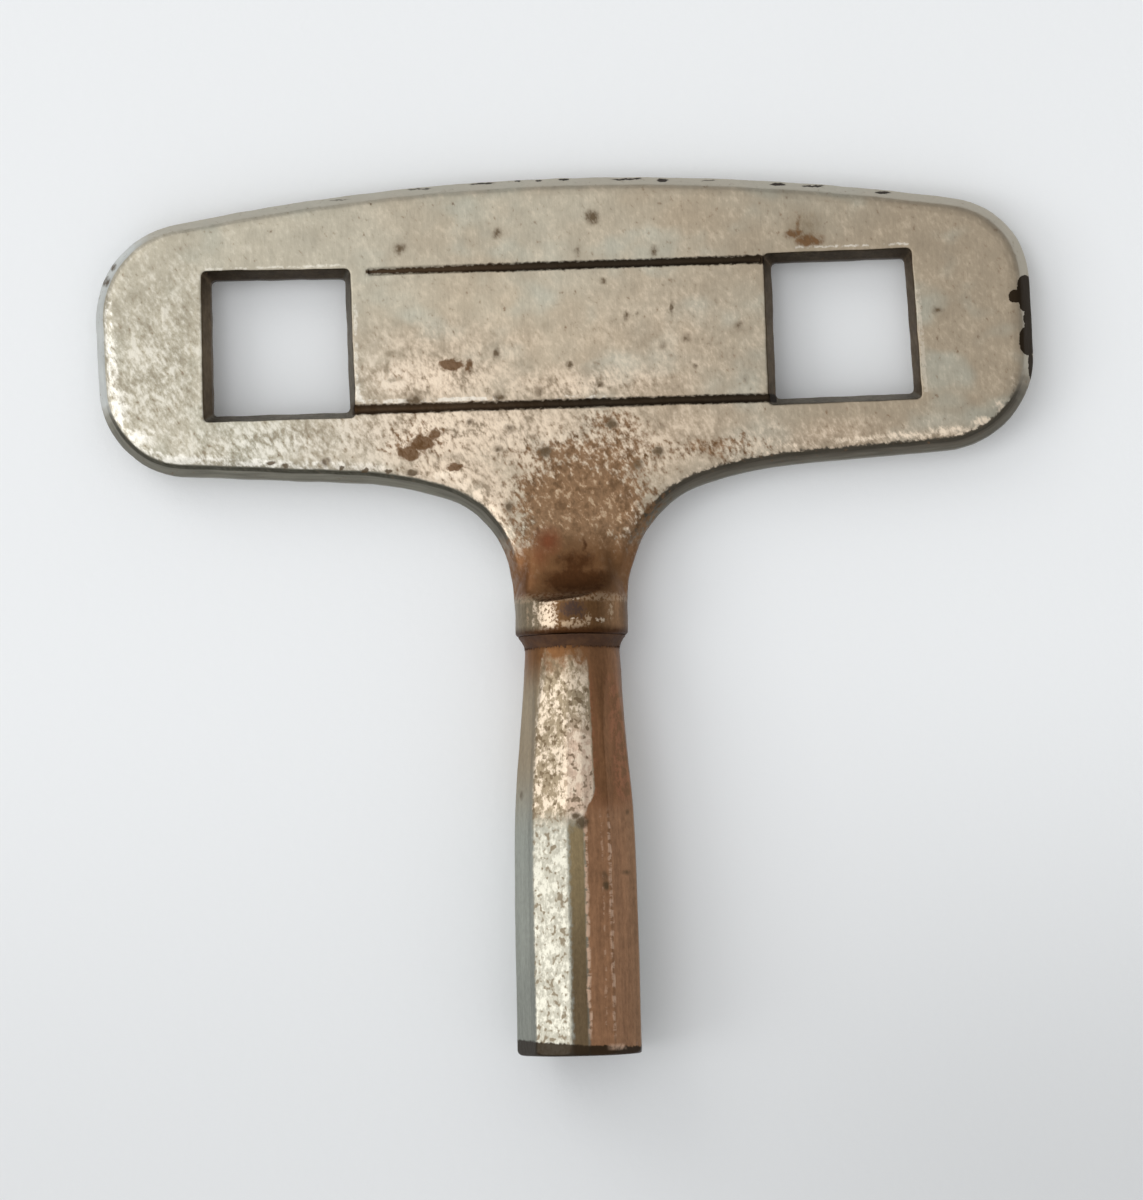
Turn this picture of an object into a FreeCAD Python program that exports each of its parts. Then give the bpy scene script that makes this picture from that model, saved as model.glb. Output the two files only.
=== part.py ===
import FreeCAD, Part
import math
import os

from FreeCAD import Vector

# Clock winding key, lying flat with its front face up. Lengths are millimetres, angles are degrees.
# The origin is the centre of the socket's mouth. The barrel runs along +Y up to the bow, +X is the
# key's right hand side seen from the front, and +Z points out of the front face.

# Bow, the flat forged handle
plate_thickness = 3.0
# Corners of the bow's widest outline, in order from the neck's left side, each with its rounding radius
neck_left = [(-3.8, 30.9, 5.2), (-4.7, 36.1, 6.4), (-11.6, 38.2, 22.9)]
left_end = [(-31.5, 39.5, 6.1), (-32.0, 55.3, 6.6)]
crown = [(0.0, 60.9, 150.0)]
right_end = [(30.9, 55.5, 5.9), (31.3, 39.8, 6.3)]
neck_right = [(12.2, 38.6, 26.5), (5.6, 36.6, 7.3), (3.8, 31.4, 5.1)]
# Foot of the neck, hidden inside the collar
neck_half_width = 3.72
neck_foot = 28.2
neck_foot_radius = 1.5
# Half of the edge's section, from its widest line up to the face: height above the middle, inset
edge_levels = [(0.35, 0.0), (1.0, 0.45), (1.27, 0.65), (1.44, 0.95), (1.5, 1.3)]

# The two square windows at the faces, corners anticlockwise, which narrow towards the middle
window_left = [(-24.25, 42.6), (-14.0, 42.6), (-14.2, 52.65), (-24.25, 52.8)]
window_right = [(13.5, 42.65), (23.7, 42.75), (23.25, 52.85), (13.4, 52.8)]
window_corner_radius = 0.3
window_draft = 0.5
window_land = 0.35

# The two grooves that frame the plain panel between the windows
groove_top_y = 52.4
groove_top_ends = (-13.0, 13.3)
groove_top_radius = 0.3
groove_low_y = 43.15
groove_low_ends = (-14.4, 14.0)
groove_low_radius = 0.33
groove_sink = 0.12

# Collar, the round boss that the neck runs into, and the spigot below it
collar_radius = 3.75
collar_foot = 27.7
collar_top = 30.0
collar_rounding = 0.3
# The scoop that sweeps from the collar down to the face: its knee and its foot (y, z), and its lean
ramp_knee = (31.7, 2.05)
ramp_foot = (34.7, 1.5)
ramp_lean = 8.0
root_start = 30.2
root_end = 34.8
root_end_radius = 2.7
spigot_radius = 1.83
spigot_length = 7.0
spigot_chamfer = 0.3

# Barrel, a tube flared over a square mandrel: distance from the mouth, outer radius
barrel_line = [(0.4, 4.24), (7.5, 4.22), (12.5, 4.16), (16.2, 4.04), (20.0, 3.72), (24.0, 3.35), (26.5, 3.16)]
barrel_length = collar_foot
mouth_rounding = 0.35
# Hammered flats round the barrel: direction from the front towards +X, half of the flat's angle
flats = [
    (-60.5, 19.5),
    (-23.2, 17.7),
    (2.5, 8.2),
    (22.4, 12.2),
    (53, 18),
    (92, 20),
    (132, 19),
    (171, 19.5),
    (209, 17),
    (245.5, 16.5),
]
# The flats fade out between these distances from the mouth, where the cut swells past the round
fade_start = 20.0
fade_end = 26.2
fade_swell = 1.02

# Socket and bore inside the barrel
socket_side = 4.5
socket_corner_radius = 0.25
socket_depth = 15.0
socket_lead_in = 0.4
bore_radius = 1.85

# Brazing fillet in the corner between the collar and the barrel
braze_width = 0.42
braze_height = 0.95
# How far in its hollow lies at half its height, as a share of the width
braze_waist = 0.3

# How far a cutting solid reaches past what it cuts
overrun = 1.0

ORIGIN = Vector(0, 0, 0)
BARREL_AXIS = Vector(0, 1, 0)
FRONT = Vector(0, 0, 1)
ACROSS = Vector(1, 0, 0)


def unit(start, end):
    """The unit vector from one point to another."""
    return (end - start).normalize()


def rounded_outline(corners, height):
    """A closed wire at a height, through corners (x, y, radius) whose corners are rounded by arcs."""
    points = [Vector(x, y, height) for x, y, _ in corners]
    arcs = []
    for index, point in enumerate(points):
        to_last = unit(point, points[index - 1])
        to_next = unit(point, points[(index + 1) % len(points)])
        half = to_last.getAngle(to_next) / 2
        radius = corners[index][2]
        reach = radius / math.tan(half)
        middle = (to_last + to_next).normalize()
        nearest = point + middle * (radius / math.sin(half) - radius)
        arcs.append((point + to_last * reach, nearest, point + to_next * reach))
    edges = []
    for index, (start, nearest, end) in enumerate(arcs):
        last_end = arcs[index - 1][2]
        edges.append(Part.LineSegment(last_end, start).toShape())
        edges.append(Part.Arc(start, nearest, end).toShape())
    return Part.Wire(edges)


def inset_corners(corners, distance):
    """The same clockwise outline moved inwards by a distance, with its radii kept concentric."""
    points = [Vector(x, y, 0) for x, y, _ in corners]
    moved = []
    for index, point in enumerate(points):
        before = unit(points[index - 1], point)
        after = unit(point, points[(index + 1) % len(points)])
        inwards_before = Vector(before.y, -before.x, 0)
        inwards_after = Vector(after.y, -after.x, 0)
        turn = before.cross(after).z
        share = distance / (1 + inwards_before.dot(inwards_after))
        place = point + (inwards_before + inwards_after) * share
        radius = corners[index][2] + math.copysign(distance, turn)
        moved.append((place.x, place.y, radius))
    return moved


def bow_corners():
    """The bow's whole outline, clockwise from the neck's left foot."""
    left_foot = [(-neck_half_width, neck_foot, neck_foot_radius)]
    right_foot = [(neck_half_width, neck_foot, neck_foot_radius)]
    return left_foot + neck_left + left_end + crown + right_end + neck_right + right_foot


def plate_blank():
    """The plate with its drafted, round shouldered edge, without windows."""
    outline = bow_corners()
    levels = [(-height, inset) for height, inset in reversed(edge_levels)] + edge_levels
    wires = [rounded_outline(inset_corners(outline, inset), height) for height, inset in levels]
    return Part.makeLoft(wires, True, True)


def window_cutter(face_corners):
    """The solid that a window takes out: narrow through the middle and opening towards both faces."""
    clockwise = [(x, y, window_corner_radius) for x, y in reversed(face_corners)]
    half = plate_thickness / 2
    slope = window_draft / (half - window_land)
    heights = [half + overrun, window_land, -window_land, -half - overrun]
    insets = [-overrun * slope, window_draft, window_draft, -overrun * slope]
    wires = []
    for height, inset in zip(heights, insets):
        corners = [(x, y, window_corner_radius) for x, y, _ in inset_corners(clockwise, inset)]
        wires.append(rounded_outline(corners, height))
    return Part.makeLoft(wires, True, True)


def groove_cutters(y, ends, radius):
    """A round bottomed groove across the front face and its twin across the back."""
    length = ends[1] - ends[0]
    height = plate_thickness / 2 + groove_sink
    front = Part.makeCylinder(radius, length, Vector(ends[0], y, height), ACROSS)
    back = Part.makeCylinder(radius, length, Vector(ends[0], y, -height), ACROSS)
    return [front, back]


def turned(points, arcs=()):
    """A solid turned about the barrel's axis from (radius, y) points; arcs names points to bow through."""
    edges = []
    index = 0
    places = [Vector(radius, y, 0) for radius, y in points]
    places.append(places[0])
    while index < len(places) - 1:
        if index + 1 in arcs:
            edges.append(Part.Arc(places[index], places[index + 1], places[index + 2]).toShape())
            index += 2
        else:
            edges.append(Part.LineSegment(places[index], places[index + 1]).toShape())
            index += 1
    return Part.Face(Part.Wire(edges)).revolve(ORIGIN, BARREL_AXIS, 360)


def collar_stem():
    """The round collar and the root that dives into the plate above it."""
    bulge = collar_rounding * (1 - math.sqrt(0.5))
    points = [
        (0, collar_foot),
        (collar_radius - collar_rounding, collar_foot),
        (collar_radius - bulge, collar_foot + bulge),
        (collar_radius, collar_foot + collar_rounding),
        (collar_radius, root_start),
        (root_end_radius, root_end),
        (0, root_end),
    ]
    return turned(points, arcs=(2,))


def ramp_cutter():
    """What is cut away above the front face, so that it sweeps up to the collar in a leaning hollow."""
    top = Vector(0, collar_top, collar_radius)
    knee = Vector(0, *ramp_knee)
    foot = Vector(0, *ramp_foot)
    slope = unit(foot, knee)
    upwards = Vector(0, slope.z, -slope.y)
    climb = top - knee
    radius = climb.dot(climb) / (2 * climb.dot(upwards))
    centre = knee + upwards * radius
    middle = centre + ((top - centre) + (knee - centre)).normalize() * radius
    far = Vector(0, root_end + overrun, plate_thickness / 2)
    high = Vector(0, root_end + overrun, collar_radius + overrun)
    above = Vector(0, collar_top, collar_radius + overrun)
    edges = [Part.Arc(top, middle, knee).toShape()]
    corners = [knee, foot, far, high, above, top]
    edges += [Part.LineSegment(a, b).toShape() for a, b in zip(corners, corners[1:])]
    cutter = Part.Face(Part.Wire(edges)).extrude(Vector(4 * collar_radius, 0, 0))
    cutter.translate(Vector(-2 * collar_radius, 0, 0))
    cutter.rotate(Vector(0, collar_top, 0), FRONT, ramp_lean)
    return cutter


def spigot():
    """The round tenon that goes down into the barrel's bore, rooted a little way inside the collar."""
    end = collar_foot - spigot_length
    root = collar_foot + overrun
    points = [
        (0, end),
        (spigot_radius - spigot_chamfer, end),
        (spigot_radius, end + spigot_chamfer),
        (spigot_radius, root),
        (0, root),
    ]
    return turned(points)


def bow():
    """The whole forged handle in one piece: plate, neck, collar and spigot."""
    front_ramp = ramp_cutter()
    back_ramp = front_ramp.mirror(ORIGIN, FRONT)
    stem = collar_stem().cut([front_ramp, back_ramp])
    cutters = [window_cutter(window_left), window_cutter(window_right)]
    cutters += groove_cutters(groove_top_y, groove_top_ends, groove_top_radius)
    cutters += groove_cutters(groove_low_y, groove_low_ends, groove_low_radius)
    plate = plate_blank().cut(cutters)
    return plate.fuse([stem, spigot()]).removeSplitter()


def barrel_edge(scale, end_scale):
    """The barrel's outer line in the XY plane; end_scale swells its upper end so that flats run out."""
    places = []
    for y, radius in barrel_line:
        share = max(0.0, (y - fade_start) / (fade_end - fade_start))
        places.append(Vector(radius * (scale + (end_scale - scale) * share**2), y, 0))
    line = Part.BSplineCurve()
    line.interpolate(places)
    return line.toShape(), places[0], places[-1]


def barrel_skin():
    """The barrel's outside as turned, before the flats are hammered on."""
    line, low, high = barrel_edge(1.0, 1.0)
    bulge = mouth_rounding * (1 - math.sqrt(0.5))
    rim = Vector(low.x - mouth_rounding, 0, 0)
    rim_middle = Vector(low.x - bulge, bulge, 0)
    top = Vector(high.x, barrel_length, 0)
    axis_top = Vector(0, barrel_length, 0)
    edges = [
        Part.LineSegment(ORIGIN, rim).toShape(),
        Part.Arc(rim, rim_middle, low).toShape(),
        line,
        Part.LineSegment(high, top).toShape(),
        Part.LineSegment(top, axis_top).toShape(),
        Part.LineSegment(axis_top, ORIGIN).toShape(),
    ]
    return Part.Face(Part.Wire(edges)).revolve(ORIGIN, BARREL_AXIS, 360)


def flat_cutter(direction, half_angle):
    """What one hammered flat takes off the round barrel, down to a chord that follows its taper."""
    line, low, high = barrel_edge(math.cos(math.radians(half_angle)), fade_swell)
    outside = 2 * barrel_line[0][1]
    corners = [
        high,
        Vector(outside, high.y, 0),
        Vector(outside, -overrun, 0),
        Vector(low.x, -overrun, 0),
        low,
    ]
    edges = [line] + [Part.LineSegment(a, b).toShape() for a, b in zip(corners, corners[1:])]
    cutter = Part.Face(Part.Wire(edges)).extrude(Vector(0, 0, outside))
    cutter.translate(Vector(0, 0, -outside / 2))
    cutter.rotate(ORIGIN, BARREL_AXIS, direction - 90)
    return cutter


def square_wire(side, y, radius):
    """A square with rounded corners, across the barrel's axis at a distance from the mouth."""
    half = side / 2
    corners = [(-half, -half, radius), (-half, half, radius), (half, half, radius), (half, -half, radius)]
    wire = rounded_outline(corners, 0)
    wire.rotate(ORIGIN, ACROSS, -90)
    wire.translate(Vector(0, y, 0))
    return wire


def socket_cutter():
    """The square hole for the clock's winding square, with its lead-in at the mouth."""
    wide_side = socket_side + 2 * socket_lead_in
    wide_radius = socket_corner_radius + socket_lead_in
    outside = square_wire(wide_side, -overrun, wide_radius)
    mouth = square_wire(wide_side, 0, wide_radius)
    start = square_wire(socket_side, socket_lead_in, socket_corner_radius)
    end = square_wire(socket_side, socket_depth, socket_corner_radius)
    return Part.makeLoft([outside, mouth, start, end], True, True)


def barrel():
    """The socket tube, open from end to end: square below, round above where the spigot sits."""
    cutters = [flat_cutter(direction, half_angle) for direction, half_angle in flats]
    skin = barrel_skin().cut(cutters)
    bore_start = Vector(0, socket_depth - overrun, 0)
    bore = Part.makeCylinder(bore_radius, barrel_length, bore_start, BARREL_AXIS)
    return skin.cut([socket_cutter(), bore])


def braze_ring(barrel_shape):
    """The hollow fillet of brazing metal that fills the corner under the collar."""
    wall = barrel_line[-1][1]
    inside = wall - braze_width
    foot = collar_foot - braze_height
    points = [
        (inside, foot),
        (wall, foot),
        (wall + braze_waist * braze_width, collar_foot - braze_height / 2),
        (wall + braze_width, collar_foot),
        (inside, collar_foot),
    ]
    return turned(points, arcs=(2,)).cut(barrel_shape)


def save(shape, node):
    """Writes one piece and prints what it measures."""
    shape.exportStep("parts/" + node + ".step")
    print(node, "valid", shape.isValid(), "solids", len(shape.Solids), "mm3", round(shape.Volume, 1))


os.makedirs("parts", exist_ok=True)
barrel_piece = barrel()
save(bow(), "bow")
save(barrel_piece, "barrel")
save(braze_ring(barrel_piece), "braze_ring")
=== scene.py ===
"""Looks of a worn clock winding key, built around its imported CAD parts. Run it as a script in Blender."""

import math

import bpy
from mathutils import Matrix, Vector

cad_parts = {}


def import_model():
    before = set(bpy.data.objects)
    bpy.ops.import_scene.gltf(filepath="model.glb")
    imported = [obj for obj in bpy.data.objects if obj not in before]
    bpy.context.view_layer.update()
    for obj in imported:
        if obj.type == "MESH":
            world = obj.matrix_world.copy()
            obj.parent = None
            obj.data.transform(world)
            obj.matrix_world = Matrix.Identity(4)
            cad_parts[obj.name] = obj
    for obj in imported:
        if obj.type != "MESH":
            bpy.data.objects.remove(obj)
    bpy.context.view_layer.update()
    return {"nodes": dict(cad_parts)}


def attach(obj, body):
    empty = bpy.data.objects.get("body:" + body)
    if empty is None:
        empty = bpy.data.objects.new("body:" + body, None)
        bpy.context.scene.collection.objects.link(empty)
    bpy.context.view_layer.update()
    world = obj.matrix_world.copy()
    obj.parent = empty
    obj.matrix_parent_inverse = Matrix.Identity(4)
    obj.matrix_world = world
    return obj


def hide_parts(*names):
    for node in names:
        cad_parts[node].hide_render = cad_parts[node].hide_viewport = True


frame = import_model()

bl_info = {
    "name": "Clock winding key",
    "version": (1, 0, 0),
    "blender": (4, 5, 0),
    "location": "3D View > Sidebar > Clock Key",
    "description": "Builds a worn clock winding key with its metal finishes, and a stage to look at it on",
    "category": "Object",
}

MM = 0.001

# Rectangles round the windows, in millimetres from the mouth's centre: left, right, low, high
WINDOWS = ((-24.9, -13.6, 42, 53.4), (12.9, 24.3, 42, 53.4))
# Dark lines in the grooves: y, left end, right end, half width at the left, half width at the right
GROOVE_TOP = (52.4, -13.1, 13.4, 0.12, 0.24)
GROOVE_LOW = (43.15, -14.2, 14, 0.3, 0.25)
# The grooves and windows all lie between these: left, right, low, high
FRAMED = (-25.2, 24.8, 41.9, 53.8)

# Where the plating is rubbed to flecks: centre x, y, half width, half height, strength
RUBBED = (
    (-7.5, 41.6, 9, 2.6, 1), (-9, 45, 5, 1.5, 1),
    (-8.5, 47, 5.5, 1.5, 0.5), (1, 44.3, 6, 1.2, 0.8),
    (4, 40.5, 7, 2.6, 0.6), (-20, 41, 8, 2, 0.75),
    (-27.5, 45.5, 5, 6.5, 0.6), (-5.2, 36, 1.3, 3.4, 1),
    (-8, 38.8, 3.5, 1.6, 1), (4.4, 34.9, 0.6, 2.2, 0.8),
    (16, 40.3, 9, 1, 0.5), (7, 47, 6, 4, 0.25),
)
# The widest of the painted highlights and rubbed places along the left end, the lower edge and the right end
BRIGHT_PATCHES = (
    (-30.3, 46.4, 0.5, 2.6, 0.85), (-29.9, 43.9, 0.7, 1.5, 0.95),
    (-28.7, 41.7, 1.2, 0.7, 0.95), (-25.7, 40.15, 2.4, 0.4, 1),
    (-21.3, 39.74, 1.3, 0.3, 1), (-18.4, 39.52, 0.7, 0.22, 0.9),
    (-15, 39.46, 0.5, 0.3, 1), (-13.3, 39.31, 1.1, 0.3, 1),
    (-7.9, 38.55, 1, 0.4, 1), (-6.9, 37.9, 0.75, 0.45, 1),
    (-6, 37.1, 0.5, 0.55, 1), (-5.3, 36.15, 0.42, 0.65, 1),
    (-4.7, 35.2, 0.36, 0.7, 1), (-4.2, 34.4, 0.3, 0.6, 0.9),
    (-3.75, 33.6, 0.26, 0.6, 0.8), (-3.35, 32.9, 0.2, 0.4, 0.6),
    (4.8, 35.65, 0.3, 0.35, 0.8), (4, 34.9, 0.26, 0.5, 0.8),
    (3.4, 33.5, 0.16, 0.35, 0.7), (5.6, 36.4, 0.35, 0.35, 0.6),
    (15.5, 40, 1.6, 0.2, 0.6), (19, 40.2, 2, 0.24, 0.8),
    (22.5, 40.35, 2, 0.28, 0.9), (25.6, 40.6, 1.7, 0.34, 1),
    (27.6, 41.15, 0.75, 0.4, 1), (28.8, 42.1, 0.42, 0.65, 0.8),
    (29.75, 43.7, 0.2, 0.8, 0.6),
)
# Small dark spots on the front of the bow
DARK_SPOTS = (
    (-10.84, 53.86, 0.42, 0.4, 0.75), (-4.26, 54.64, 0.32, 0.36, 0.75),
    (2.07, 55.56, 0.42, 0.45, 1), (1.09, 53.35, 0.3, 0.5, 0.5),
    (2.77, 51.27, 0.22, 0.22, 0.7), (4.19, 48.89, 0.22, 0.3, 0.75),
    (4.95, 49.05, 0.18, 0.18, 0.6), (-4.47, 46.67, 0.26, 0.36, 0.85),
    (0.35, 45.72, 0.2, 0.22, 0.9), (2.35, 44.35, 0.2, 0.2, 0.95),
    (-1.74, 43.98, 0.25, 0.4, 0.7), (-10.06, 43.67, 0.55, 0.3, 0.8),
    (-4.41, 43.72, 0.35, 0.2, 0.9), (6.16, 53.17, 0.3, 0.38, 0.75),
    (7.24, 49.3, 0.14, 0.6, 0.7), (8.18, 47.26, 0.35, 0.35, 0.6),
    (11.65, 48.02, 0.28, 0.28, 0.6), (6.62, 46.81, 0.3, 0.3, 0.5),
    (8.75, 45.39, 0.2, 0.2, 0.7), (12.06, 44.42, 0.3, 0.45, 0.5),
    (24.81, 48.61, 0.4, 0.25, 0.6), (-30.75, 52.35, 0.28, 0.3, 1),
    (-30.25, 53.35, 0.2, 0.25, 0.9), (-14.15, 43.3, 0.32, 0.35, 1),
    (-6.39, 42.13, 0.25, 0.25, 0.75), (-3.73, 41.59, 0.3, 0.3, 0.7),
    (-4.52, 40.24, 0.25, 0.25, 0.7), (-1.41, 39.99, 0.45, 0.28, 0.95),
    (3.05, 41.69, 0.3, 0.3, 1), (6.12, 39.77, 0.38, 0.3, 0.95),
    (4.73, 38.91, 0.35, 0.4, 0.8), (-3.92, 36.4, 0.35, 0.4, 0.8),
)
# Soft brownish blurs on the front of the bow
BLURS = (
    (-1.08, 48.31, 0.5, 0.5, 0.35), (-8.1, 47.5, 0.35, 0.8, 0.4),
    (-11.56, 46.89, 0.55, 0.25, 0.6), (-11.82, 45.84, 0.2, 0.7, 0.65),
    (-11.3, 45.1, 0.6, 0.2, 0.6), (1.44, 45.21, 0.4, 0.9, 0.4),
    (3.28, 43.89, 0.4, 0.35, 0.5), (8.6, 46.6, 0.9, 0.8, 0.25),
    (24.99, 42.97, 1.2, 1, 0.25), (16.3, 54.2, 1.5, 1.5, 0.55),
)
# Dark notches in the bright rim
NOTCHES = (
    (-19.75, 39.75, 0.3, 0.16, 0.9), (-18.8, 39.5, 0.2, 0.14, 0.9),
    (-16.1, 39.7, 0.34, 0.34, 0.7), (-15.1, 39.3, 0.16, 0.14, 1),
    (-13.5, 39.1, 0.2, 0.14, 1), (-11.87, 39, 0.24, 0.16, 1),
    (-10.3, 38.8, 0.4, 0.24, 0.9),
)
# Red brown patches on the front of the bow
RUST_PATCHES = (
    (-7.5, 45.95, 0.85, 0.42, 1), (-6.35, 45.85, 0.3, 0.6, 0.7),
    (-10.5, 40.15, 0.75, 0.5, 1), (-9.6, 40.75, 0.9, 0.5, 1),
    (-8.75, 41.3, 0.45, 0.4, 0.8), (-7.4, 39.1, 0.7, 0.28, 0.9),
)
# Stains: brown halos and the rust that spreads up the neck
STAIN = (
    (0.6, 32, 4.1, 5.2, 1), (1, 36.4, 4.3, 3, 1),
    (1.6, 39.4, 4.6, 1.8, 0.62), (3, 41.6, 2.4, 0.9, 0.45),
    (-9.8, 41, 2.4, 1.4, 0.35), (10, 39.9, 3.4, 0.8, 0.45),
)
# The dark smear over the right window
SMEAR = ((16.5, 53.55, 0.85, 0.4, 1), (15.5, 54, 0.6, 0.3, 0.9), (15.8, 54.75, 0.2, 0.7, 0.5))
# Where the plating has chipped off the right end
END_CHIPS = (
    (30.75, 50, 0.62, 0.85, 1), (30.2, 49.4, 0.62, 0.45, 1),
    (30.75, 48.9, 0.5, 0.5, 1), (30.9, 47.9, 0.36, 0.9, 1),
    (30.75, 46.45, 0.55, 0.95, 1), (30.95, 44.8, 0.2, 0.9, 1),
)
# Dark chips along the crown
CROWN_CHIPS = (
    (-14.9, 57.4, 0.9, 0.07, 0.5), (-9.5, 57.98, 1, 0.06, 0.6),
    (-5.3, 58.22, 1, 0.08, 0.65), (-2.9, 58.3, 0.3, 0.08, 0.65),
    (-1.5, 58.3, 0.25, 0.08, 0.65), (0.2, 58.3, 0.4, 0.08, 0.7),
    (4.4, 58.18, 1.1, 0.09, 0.7), (6.8, 58.02, 0.42, 0.16, 0.75),
    (9.86, 57.9, 0.6, 0.07, 0.55), (14.5, 57.48, 0.55, 0.13, 0.75),
    (16.8, 57.3, 0.85, 0.1, 0.7), (21.49, 56.7, 0.6, 0.12, 0.75),
)
# Edges with painted highlights, partly rubbed bright: left, right, low, high, strength
BRIGHT_LINES = (
    (-23.9, -14.4, 52.85, 52.93, 0.4), (15.6, 20.4, 53.08, 53.15, 0.5),
    (21.3, 23.1, 53.08, 53.15, 0.5), (-13.97, -13.8, 45.5, 50.2, 0.4),
    (-13.9, -13.5, 43.7, 45.5, 0.6), (-13.6, -4.5, 43.55, 43.75, 0.55),
    (-1, 2.8, 43.5, 43.65, 0.55),
)
# The painted highlight line beside the right window leans: its middle's y, its lean, left, right, low, high
LEANING_LINE = (47.8, 0.0446, 23.62, 23.8, 43.2, 50)
# Patches of rust on the back of the bow, which the photograph doesn't show
BACK_PATCHES = (
    (3, 33, 3.6, 4, 1), (-3, 38.5, 3.2, 2.2, 0.7),
    (9, 47, 1, 0.6, 0.9), (-20, 41.2, 0.8, 0.5, 0.8),
    (27.5, 52, 0.7, 0.8, 0.8),
)
# The hollow above the collar, darkened by rust and painted shade, and the redder rust on its left
HOLLOW = (
    (0.45, 31.35, 2.5, 1, 1), (0.5, 32.5, 2.2, 1.2, 0.75),
    (0.3, 33.6, 1.9, 0.9, 0.5), (1.1, 33.55, 0.22, 0.75, 0.8),
)
RED_RUST = ((-1.35, 34, 0.7, 0.75, 1), (-1.9, 33.2, 0.5, 0.9, 0.6), (-2.9, 32, 0.6, 1.4, 0.3))
# Bright worn places with painted glints, grey places and bare ones on the front of the collar
COLLAR_WORN_AND_GLINTS = (
    (-1.38, 28.85, 0.68, 0.95, 1), (-2.25, 29.5, 0.14, 0.42, 1),
    (-2.36, 28.5, 0.1, 0.45, 0.7), (-1.35, 29.75, 0.75, 0.12, 0.8),
    (0.49, 30.02, 0.3, 0.09, 0.8), (0.39, 28.72, 0.34, 0.09, 0.75),
    (2.13, 28.57, 0.36, 0.2, 0.85),
)
COLLAR_GREY = (
    (0.2, 28.32, 1, 0.3, 0.9), (1.3, 28.6, 0.2, 0.42, 0.9),
    (2.75, 29.3, 0.22, 0.8, 0.6), (-2.72, 28.9, 0.12, 0.8, 0.6),
)
COLLAR_BARE = ((0.3, 29.35, 0.85, 0.6, 1), (0.9, 28.9, 0.35, 0.4, 0.7))
# Spots on the barrel
BARREL_SPOTS = (
    (0.62, 15.25, 0.36, 0.36, 1), (0.26, 15.72, 0.28, 0.2, 0.95),
    (2.08, 11.1, 0.2, 0.3, 0.9), (2.03, 11.7, 0.26, 0.6, 0.45),
    (3.35, 11.96, 0.3, 0.22, 0.5), (3.49, 15.91, 0.12, 0.18, 0.5),
    (-3.51, 17.2, 0.16, 0.32, 0.5),
)

# Rubbed ridges with painted highlights between the barrel's right flats: angle from the front and half width
# in degrees, strength, and the noise level where their dashes start
RIDGES = ((11.8, 2.6, 1, 0.4), (35.2, 3, 0.85, 0.44), (27.5, 1.6, 0.45, 0.5))
# The distances from the barrel's axis between which the outside's finish gives way to rust within
INSIDE = (3.05, 2.9)

# How far the outline is filed in at the top and at the left, in millimetres
TOP_FILED = 0.18
LEFT_FILED = 0.25
# Rounds of smoothing for every edge, and for the sides of the hollow above the collar
EDGE_ROUNDS = 2
HOLLOW_ROUNDS = 120
# The most triangles that a piece keeps
MOST_TRIANGLES = 190000

# The photograph's camera: leans in degrees, the point it looks at and its distance in millimetres
CAMERA_LEAN_ACROSS = -3.5
CAMERA_LEAN_ALONG = 3.6
CAMERA_ROLL = 1.342
CAMERA_TARGET = (0.0271, 30.143)
CAMERA_DISTANCE = 300.0
CAMERA_LENS = 135.0

# The floor touches the barrel's mouth and the top edge of the bow: y, z in millimetres
FLOOR_LOW = (0.0, -4.21)
FLOOR_HIGH = (57.4, -1.5)
# The floor's side, and the point that the lamps light, in metres
FLOOR_SIDE = 1.6
KEY_MIDDLE = (0, 0.03, 0)
# How strongly the camera sees the sky, where 1 is white
SEEN_SKY = 0.82


def colour(name, description, default):
    """A colour that a user can change."""
    return bpy.props.FloatVectorProperty(
        name=name, description=description, subtype="COLOR", size=3, min=0, max=1, default=default
    )


def power(name, description, default):
    """A lamp's power in watts that a user can change."""
    return bpy.props.FloatProperty(name=name, description=description, default=default, unit="POWER")


def length(name, description, default):
    """A length in metres that a user can change."""
    return bpy.props.FloatProperty(name=name, description=description, default=default, unit="LENGTH")


class KeySizes(bpy.types.PropertyGroup):
    """Sizes that decide how finely and how roughly the key's pieces are worked."""

    bow_grain: length("Bow grain", "Width of the faces that the bow is remeshed into", 0.1 * MM)
    barrel_grain: length("Barrel grain", "Width of the faces that the barrel is remeshed into", 0.085 * MM)
    braze_grain: length("Braze grain", "Width of the faces that the braze is remeshed into", 0.05 * MM)
    braze_lumps: length("Braze lumps", "Height of the lumps on the braze", 0.12 * MM)
    hand_wobble: length("Hand wobble", "How far filed edges wander from a straight line", 0.1 * MM)
    face_waves: length("Face waves", "Height of the shallow waves that wear has left on the faces", 0.05 * MM)


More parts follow.
